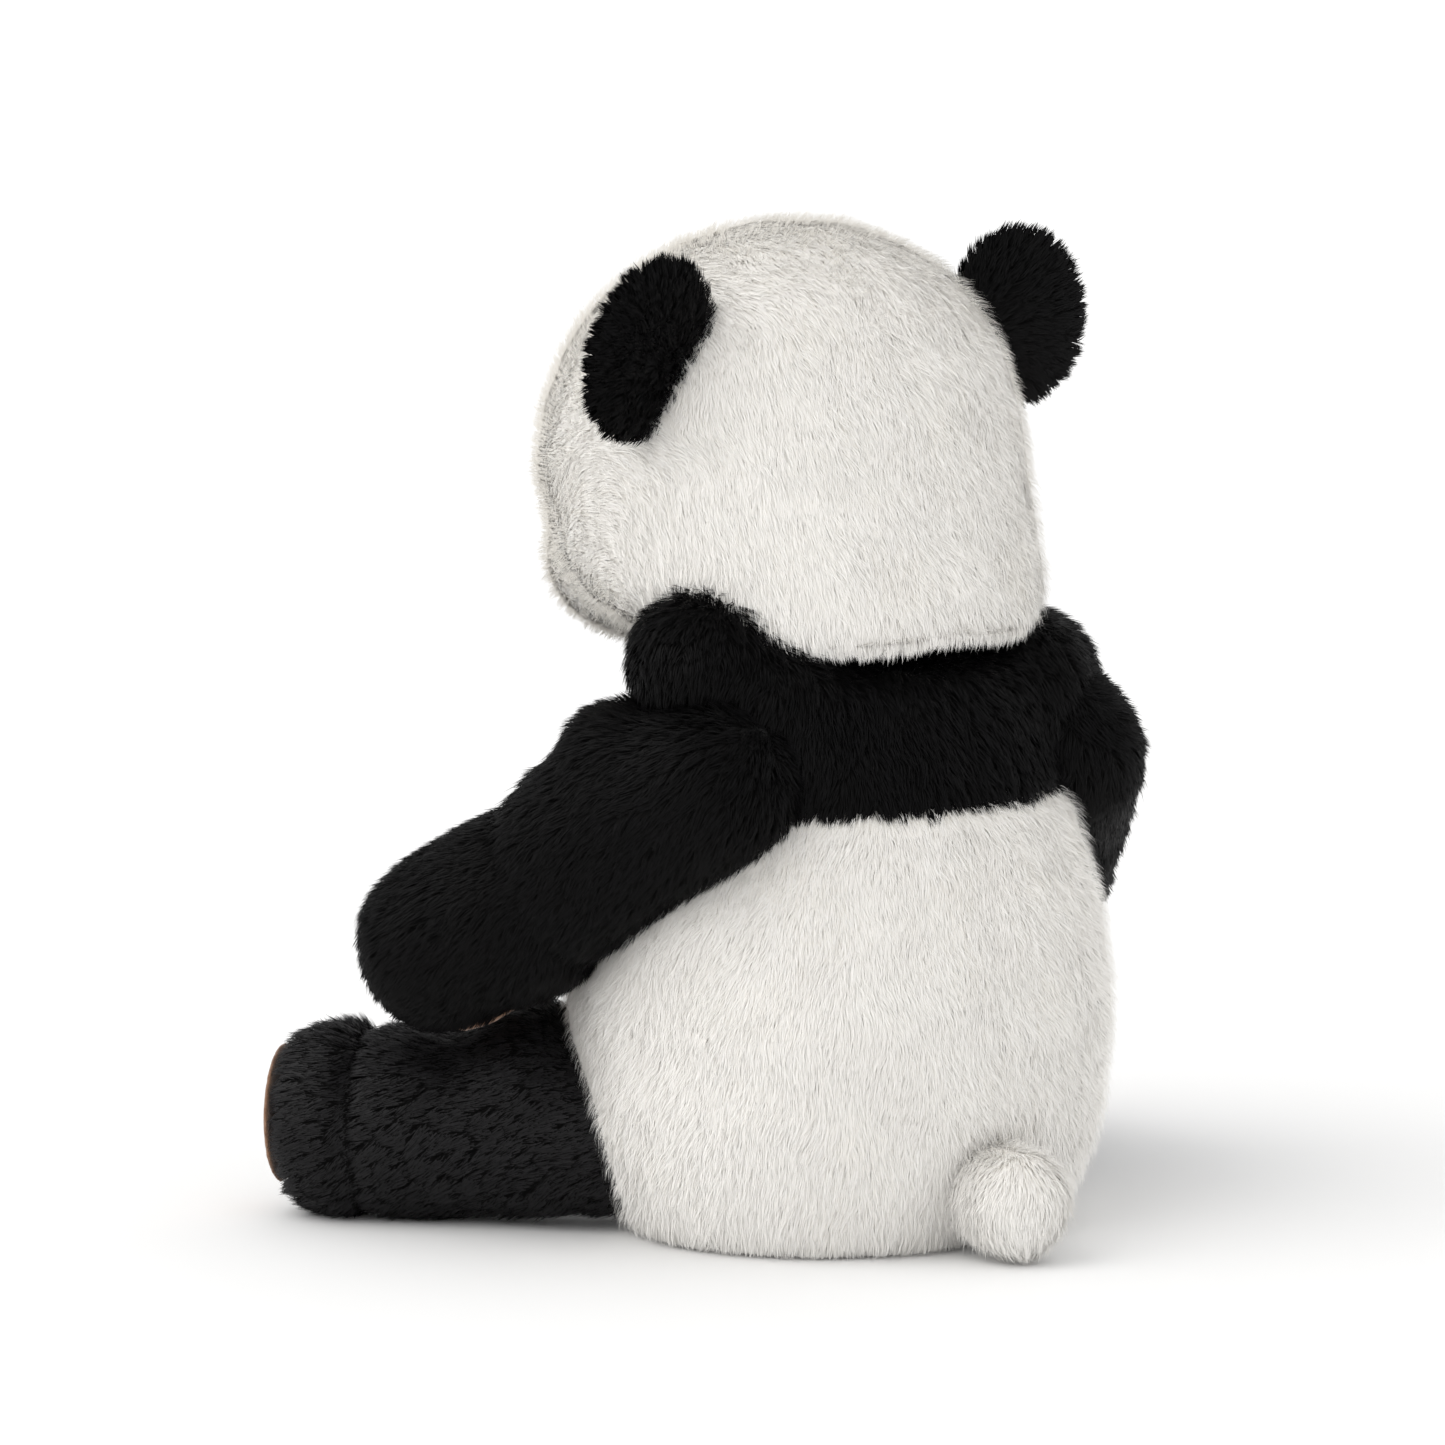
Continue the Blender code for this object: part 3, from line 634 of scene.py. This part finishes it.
HEAD = centre("head_skin")
MUZZLE = centre("muzzle_skin")
CHEEK = np.array([0.060, -0.058, 0.318])     # the middle of the left cheek's filling
CHEEK_RADIUS = 0.046
CHIN = np.array([0, -0.060, 0.305])
CHIN_RADIUS = 0.048
PATCH_REACH = 0.0090     # fur this near the CAD patch is the patch's own
EYE_RADIUS = 0.0084
EYE_HEIGHT = 0.0068
EYE_CLEARANCE = 0.0082   # no fur starts this near an eye's middle
NOSE_RADIUS = 0.0115
NOSE_HEIGHT = 0.0085
NOSE_CLEARANCE = 0.004   # no fur starts this near the CAD nose
BUTTON_SINK = 0.0012     # how deep a button's rim is drawn into the skin
MUZZLE_COVER = 0.003     # the head keeps its fur this deep under the muzzle
NECK_COVER = 0.016       # the head keeps its fur this deep in the torso, where a turn brings it out
THREAD_LIFT = 0.0013     # how far the mouth's thread stands on its skin, clear of the short fur
STITCH_LAP = 0.68        # half a stitch's length, as a share of the gap between stitches
STITCH_HALF = (0.0011, 0.0010)   # half a stitch's width and height
EAR_SINK = 0.002         # how far the ear's seam is drawn into the fur of the head
EAR_COVER = 0.004        # the ear keeps its fur this deep in the head


def head_comb(spots, ways):
    """Back from the muzzle over the head, and down behind."""
    back = unit(spots - MUZZLE)
    fall = ramp(spots[:, 1], HEAD[1] - 0.03, HEAD[1] + 0.07)
    back[:, 2] -= 1.2 * fall
    return back


def back_of_head(points):
    """Distance from the seam down the back of the head."""
    return np.abs(points[:, 0]) + 10 * np.maximum(0, HEAD[1] - points[:, 1])


def button_axis(node, towards):
    """The outer point of a button, and the direction it faces."""
    points = node_points(node)
    away = np.linalg.norm(points - towards, axis=1)
    tip = points[away.argmax()]
    stem = points[away < away.min() + 0.002].mean(0)
    return tip, unit(tip - stem)


def make_head(white_cloth, form):
    """The head's padded skin. Its fur is grown with the face, which it leaves clear."""
    add_relief(form, ((back_of_head, SEAM_DEPTH * 0.5, SEAM_WIDTH),))
    add_piece("head_base", form, white_cloth, "head", ("head_skin", "head_stuffing"))


def faces_of(mesh):
    """A search tree of a mesh's faces."""
    return BVHTree.FromPolygons([v.co for v in mesh.vertices], [p.vertices for p in mesh.polygons])


def seat_on(faces, tip, ahead):
    """Where a button's axis meets a padded surface."""
    ahead = Vector(ahead)
    met = faces.ray_cast(Vector(tip) + ahead * 0.02, -ahead)[0]
    return np.array(met - ahead * BUTTON_SINK)


def make_face(coats, white_cloth, black_cloth, head):
    """The muzzle, nose, mouth, eye patches and eyes."""
    muzzle = padded_form("muzzle_base", ("muzzle_skin",), 0.0022, 0.0004, passes=4)
    add_piece("muzzle_base", muzzle, white_cloth, "head", ("muzzle_skin", "muzzle_stuffing"))

    def out_of_nose(spots, ways):
        """Back from the nose."""
        return unit(spots - centre("nose"))
    clear_nose = away_from(node_points("nose"), NOSE_CLEARANCE)

    def on_muzzle(spots, ways):
        """Clear of the nose, and not on the side sewn to the head."""
        return clear_nose(spots) & (ways[:, 1] < 0.2)
    grow("muzzle_fur", muzzle, coats["face"], out_of_nose, "head", on_muzzle)

    outside_muzzle = outside(muzzle, MUZZLE_COVER)
    near = {word: faces_of(frame["nodes"]["eye_patch_" + word].data) for _, word in SIDES}
    head_faces, muzzle_faces = faces_of(head), faces_of(muzzle)

    def on_patch(spots, word, reach):
        """True within reach of an eye patch."""
        return np.array([near[word].find_nearest(p, reach)[0] is not None for p in spots.tolist()])

    off_neck = outside(torso_stand_in(), NECK_COVER)

    def head_shown(spots, ways):
        """Everywhere but under the muzzle, the patches and the neck."""
        kept = outside_muzzle(spots) & off_neck(spots)
        for _, word in SIDES:
            kept &= ~on_patch(spots, word, PATCH_REACH)
        return kept
    grow("head_fur", head, coats["white"], head_comb, "head", head_shown)
    grow("head_guard_hair", head, coats["guard"], head_comb, "head", head_shown)

    gloss = button_material("button_gloss")
    for _, word in SIDES:
        tip, ahead = button_axis("eye_" + word, HEAD)
        base = seat_on(head_faces, tip, ahead)

        def patch_shown(spots, ways, word=word, base=base):
            """On the patch, but not under the eye."""
            off_eye = np.linalg.norm(spots - base, axis=1) > EYE_CLEARANCE
            return on_patch(spots, word, PATCH_REACH) & off_eye

        patch = "eye_patch_" + word
        panel = part_of(head, patch + "_base", lambda p, word=word: on_patch(p, word, PATCH_REACH), -0.001)
        add_piece(patch + "_base", panel, black_cloth, "head", (patch,))
        grow(patch + "_fur", head, coats["patch"], head_comb, "head", patch_shown)
        add_button("eye_" + word + "_dome", "eye_" + word, base, ahead, gloss, EYE_RADIUS, EYE_HEIGHT)
    tip, ahead = button_axis("nose", MUZZLE)
    base = seat_on(muzzle_faces, tip, ahead)
    add_button("nose_dome", "nose", base, ahead, gloss, NOSE_RADIUS, NOSE_HEIGHT, corners=3)

    thread = cloth_material("mouth_thread", (0.008, 0.008, 0.009), (0.03, 0.03, 0.034), 2400, 0.1, 0.6)
    add_stitches("lip_stitches", "lip_stitch", 2, 4, thread, muzzle_faces)
    add_stitches("mouth_stitches", "mouth_stitch", 0, 16, thread, muzzle_faces)


def torso_stand_in():
    """The torso's plain outline, for finding what the head hides."""
    return padded_form("torso_outline", TORSO_SKINS, 0.01, PILE)


def button_material(name):
    """Polished black plastic with faint moulding marks."""
    material, shader = shader_of(name, (0.010, 0.009, 0.009), 0.08)
    marks = add_noise(material, 900, 2.0)
    stops = [(0.3, (0.007, 0.006, 0.006)), (0.7, (0.014, 0.012, 0.011))]
    tones = add_ramp(material, marks.outputs["Fac"], stops)
    material.node_tree.links.new(tones, shader.inputs["Base Color"])
    shader.inputs["Specular IOR Level"].default_value = 0.32
    shader.inputs["Coat Weight"].default_value = 0.05
    shader.inputs["Coat Roughness"].default_value = 0.04
    return material


def add_button(name, node, base, ahead, material, radius, height, corners=0):
    """A smooth moulded dome in place of a button. With corners it is a rounded, dimpled nose."""
    form = bmesh.new()
    bmesh.ops.create_uvsphere(form, u_segments=48, v_segments=24, radius=1)
    upright = Vector(ahead).to_track_quat("Z", "Y").to_matrix()
    for vertex in form.verts:
        around = math.atan2(vertex.co.y, vertex.co.x)
        wide = radius
        lift = vertex.co.z if vertex.co.z > 0 else vertex.co.z * 0.25
        dimple = 0.0
        if corners:
            wide = radius * (1 + 0.10 * math.cos(corners * (around + math.pi / 2)))
            flat = Vector((vertex.co.x, vertex.co.y, 0))
            for side in (1, -1):
                spot = (Vector((0.42 * side, -0.25, 0)) - flat).length
                dimple += 0.16 * math.exp(-(spot / 0.20) ** 2)
        vertex.co = upright @ Vector((vertex.co.x * wide, vertex.co.y * wide, (lift - dimple) * height))
    bmesh.ops.translate(form, verts=form.verts, vec=Vector(base))
    mesh = bpy.data.meshes.new(name)
    form.to_mesh(mesh)
    form.free()
    mesh.polygons.foreach_set("use_smooth", np.ones(len(mesh.polygons), bool))
    add_piece(name, mesh, material, "head", (node,))


def add_stitches(name, node, along, count, material, faces):
    """Overlapping satin stitches along a CAD thread, which runs along one axis, laid on a surface."""
    points = node_points(node)
    low, high = points[:, along].min(), points[:, along].max()
    edges = np.linspace(low, high, count + 2)
    knots = [points[np.abs(points[:, along] - edge) < (high - low) / count].mean(0) for edge in edges]
    knots = [np.array(place + way * THREAD_LIFT) for place, way, *_ in map(faces.find_nearest, knots)]
    form = bmesh.new()
    for start, end in zip(knots[:-1], knots[1:]):
        run = Vector(end - start)
        turn = run.to_track_quat("X", "Z").to_matrix()
        ball = bmesh.ops.create_icosphere(form, subdivisions=2, radius=1)
        for vertex in ball["verts"]:
            size = Vector((run.length * STITCH_LAP, *STITCH_HALF))
            vertex.co = Vector(start + end) / 2 + turn @ (vertex.co * size)
    mesh = bpy.data.meshes.new(name)
    form.to_mesh(mesh)
    form.free()
    mesh.polygons.foreach_set("use_smooth", np.ones(len(mesh.polygons), bool))
    add_piece(name, mesh, material, "head", (node,))


def make_ears(coats, black_cloth, head):
    """Two ears, each sewn from two panels, with fur that runs out to the rim."""
    shown = outside(head, EAR_COVER)
    for _, word in SIDES:
        name = "ear_" + word
        panels = (name + "_front", name + "_back")
        form = padded_form(name + "_base", panels, 0.0025, 0.0030, passes=8)
        root = pivot(name + "_flex")
        points, _ = mesh_points(form)
        move_points(form, points + unit(HEAD - root) * EAR_SINK)
        add_piece(name + "_base", form, black_cloth, name, panels)

        def comb(spots, ways, root=root):
            """Out to the rim."""
            return unit(spots - root)
        grow(name + "_fur", form, coats["ear"], comb, name, lambda spots, ways: shown(spots))


# Limbs and tail

def crease_at(start, run, share):
    """Distance along a limb from a crease at a share of its length."""
    reach = float(np.linalg.norm(run))
    return lambda points: np.abs((points - start) @ (run / reach) - share * reach)


# Puffs of filling on a limb: share of the way to its end, lift and radius
ARM_PUFFS = {"left": ((0.26, 0.028, 0.038), (0.36, 0.006, 0.046), (0.62, -0.004, 0.046)),
             "right": ((0.28, 0.006, 0.040), (0.42, 0.000, 0.049), (0.72, 0.002, 0.053))}
LEG_PUFFS = ((0.80, 0.003, 0.040), (0.34, 0.019, 0.040))
# Creases across a limb: share of the way to its end, and depth
ARM_CREASES = ((0.50, 0.0018),)
LEG_CREASES = ((0.78, 0.0040),)
SHOULDER_SLUMP = {"left": 0.0, "right": 0.014}     # the right shoulder is stuffed less
SLUMP_REACH = 0.035      # the slump fades this far below and above the shoulder
ARMPIT = 0.034           # an arm keeps its fur this deep in the torso, where a lift brings it out
LEG_COVER = 0.014
TAIL_COVER = 0.010
CREASE_WIDTH = 0.005
PAD_SINK = 0.0050        # how deep a pad is drawn in, so that fur rings it
PAD_RIM = 0.96           # fur starts at this share of the pad's radius


def off_disc(points):
    """Returns a test for places that aren't over or under a flat disc of points."""
    middle = points.mean(0)
    _, _, axes = np.linalg.svd(points - middle, full_matrices=False)
    across = np.linalg.norm((points - middle) @ axes[:2].T, axis=1).max()

    def test(spots):
        """True off the disc."""
        away = spots - middle
        spread = np.linalg.norm(away @ axes[:2].T, axis=1)
        return (spread > across * PAD_RIM) | (np.abs(away @ axes[2]) > across)
    return test


def make_limb(kind, word, coats, cloth, torso, pad, creases, puffs=()):
    """An arm or a leg: its skin and fur, and its pad, which rides on the limb."""
    name = f"{kind}_{word}"
    start = pivot(name + ("_lift" if kind == "arm" else "_spread"))
    skin = node_points(name + "_skin")
    away = np.linalg.norm(skin - start, axis=1)
    run = skin[away > away.max() * 0.9].mean(0) - start
    balls = [(start + run * share + np.array([0, 0, lift]), (size,) * 3) for share, lift, size in puffs]
    form = padded_form(name + "_base", (name + "_skin",), 0.004, PILE * 0.9, balls, passes=36)
    if kind == "arm":
        points, _ = mesh_points(form)
        high = ramp(points[:, 2], start[2] - SLUMP_REACH, start[2] + SLUMP_REACH)
        points[:, 0] += SHOULDER_SLUMP[word] * high
        move_points(form, points)
    add_relief(form, [(crease_at(start, run, share), depth, CREASE_WIDTH) for share, depth in creases])
    if kind == "leg":
        settle(form, PILE * 0.8)
    suede = cloth_material(pad + "_suede", (0.17, 0.085, 0.05), (0.30, 0.165, 0.095), 1400, 0.35, 0.85)
    cushion = padded_form(pad + "_cushion", (pad,), 0.0016, 0.0, passes=10)
    shift = unit(start + run * 0.85 - centre(pad)) * PAD_SINK
    points, _ = mesh_points(cushion)
    move_points(cushion, points + shift)
    add_piece(pad + "_cushion", cushion, suede, name, (pad,))

    bend = ("torso", name, start - run * 0.15, start + run * 0.30)
    add_piece(name + "_base", form, cloth, bend, (name + "_skin", name + "_stuffing"))
    shown = outside(torso, ARMPIT if kind == "arm" else LEG_COVER)
    clear = off_disc(node_points(pad))

    def comb(spots, ways):
        """Along the limb and downwards."""
        return np.tile(unit(run) + np.array([0, 0, -0.5]), (len(spots), 1))
    # Legs take the lighter tips, painted light; arms take the darker ones, painted shade.
    coat = coats["soot" if kind == "leg" else "black"]
    grow(name + "_fur", form, coat, comb, bend,
         lambda spots, ways: shown(spots) & clear(spots))


def make_tail(coats, cloth, torso):
    """The stub tail."""
    start = pivot("tail_wag")
    form = padded_form("tail_base", ("tail_skin",), 0.003, PILE * 0.9, passes=8)
    add_relief(form)
    settle(form, PILE * 0.7)
    add_piece("tail_base", form, cloth, "tail", ("tail_skin", "tail_stuffing"))
    shown = outside(torso, TAIL_COVER)

    def comb(spots, ways):
        """Down, and a little out to the tip."""
        return 0.4 * unit(spots - start) + np.array([0, 0, -1.0])
    for name, coat in (("tail_fur", "white"), ("tail_guard_hair", "guard")):
        grow(name, form, coats[coat], comb, "tail", lambda spots, ways: shown(spots))


def make_neck(cloth):
    """The stuffed plug in the collar, which the head turns on."""
    form = padded_form("neck_core", ("neck_stuffing",), 0.005, 0.008, passes=4)
    add_piece("neck_core", form, cloth, "neck", ("neck_stuffing",))


def finish_washers():
    """Gives the hidden washers a moulded plastic with faint flow marks."""
    material, shader = shader_of("washer_moulding", (0.72, 0.72, 0.70), 0.4)
    marks = add_noise(material, 600, 3.0)
    stops = [(0.3, (0.66, 0.66, 0.64)), (0.7, (0.76, 0.76, 0.74))]
    tones = add_ramp(material, marks.outputs["Fac"], stops)
    material.node_tree.links.new(tones, shader.inputs["Base Color"])
    for name, node in frame["nodes"].items():
        if name.endswith("_washer"):
            for holder in node.material_slots:
                holder.material = material


# Stage

def facing(azimuth, elevation):
    """The unit vector from the panda towards a viewer."""
    turn, rise = math.radians(azimuth), math.radians(elevation)
    return Vector((math.sin(turn) * math.cos(rise), -math.cos(turn) * math.cos(rise), math.sin(rise)))


def aim(item, place, target):
    """Places a camera or light and turns it to a target."""
    item.location = place
    item.rotation_euler = (Vector(target) - Vector(place)).to_track_quat("-Z", "Y").to_euler()
    bpy.context.scene.collection.objects.link(item)


def add_camera():
    """The camera, behind the panda's left shoulder."""
    lens = bpy.data.cameras.new("view")
    lens.lens = VIEW_LENS
    lens.clip_end = 200
    right = Vector((math.cos(math.radians(VIEW_AZIMUTH)), math.sin(math.radians(VIEW_AZIMUTH)), 0))
    target = Vector((0, VIEW_DEPTH, VIEW_HEIGHT)) - right * VIEW_SHIFT
    camera = bpy.data.objects.new("view", lens)
    aim(camera, target + facing(VIEW_AZIMUTH, VIEW_ELEVATION) * VIEW_DISTANCE, target)
    bpy.context.scene.camera = camera


def add_light(name, azimuth, elevation, spread, power, colour):
    """A distant soft light, as wide in degrees as its spread."""
    lamp = bpy.data.lights.new(name, "SUN")
    lamp.angle = math.radians(spread)
    lamp.energy = power
    lamp.color = colour
    aim(bpy.data.objects.new(name, lamp), facing(azimuth, elevation) * 3, (0, 0, 0))


def add_stage():
    """A pale floor, a soft sky and one soft light from the panda's left."""
    bpy.ops.mesh.primitive_plane_add(size=160, location=(0, 0, 0))
    floor = bpy.context.object
    floor.name = "floor"
    material, shader = shader_of("pale_floor", (0.96, 0.96, 0.96), 0.9)
    grain = add_noise(material, 3, 2.0)
    stops = [(0.3, (0.955, 0.955, 0.955)), (0.7, (0.965, 0.965, 0.965))]
    tones = add_ramp(material, grain.outputs["Fac"], stops)
    material.node_tree.links.new(tones, shader.inputs["Base Color"])
    shader.inputs["Specular IOR Level"].default_value = 0.0
    floor.data.materials.append(material)
    world = bpy.data.worlds.new("sky")
    world.use_nodes = True
    sky = world.node_tree.nodes["Background"]
    sky.inputs["Color"].default_value = (1, 1, 1, 1)
    sky.inputs["Strength"].default_value = SKY_STRENGTH
    bpy.context.scene.world = world
    add_light("key", VIEW_AZIMUTH + KEY_TURN, KEY_ELEVATION, KEY_SPREAD, KEY_POWER, (1, 0.985, 0.96))
    bpy.context.scene.view_settings.view_transform = "Standard"


def main():
    """Builds the looks."""
    add_camera()
    add_stage()
    coats = make_coats()
    white_cloth = cloth_material("white_backing", (0.86, 0.83, 0.78), (0.93, 0.91, 0.87), sheen=0.0)
    black_cloth = cloth_material("black_backing", (0.0024, 0.0023, 0.0024),
                                 (0.0045, 0.0042, 0.0047), sheen=0.0)
    cheeks = [(mirrored(CHEEK, side), (CHEEK_RADIUS,) * 3) for side, _ in SIDES]
    cheeks.append((CHIN, (CHIN_RADIUS,) * 3))
    head = padded_form("head_base", ("head_skin",), 0.005, PILE, cheeks)
    torso = make_torso(coats, white_cloth, black_cloth, head)
    make_head(white_cloth, head)
    make_face(coats, white_cloth, black_cloth, head)
    make_ears(coats, black_cloth, head)
    for _, word in SIDES:
        make_limb("arm", word, coats, black_cloth, torso, "paw_pad_" + word, ARM_CREASES, ARM_PUFFS[word])
        make_limb("leg", word, coats, black_cloth, torso, "foot_pad_" + word, LEG_CREASES, LEG_PUFFS)
    make_tail(coats, white_cloth, torso)
    make_neck(white_cloth)
    finish_washers()


main()
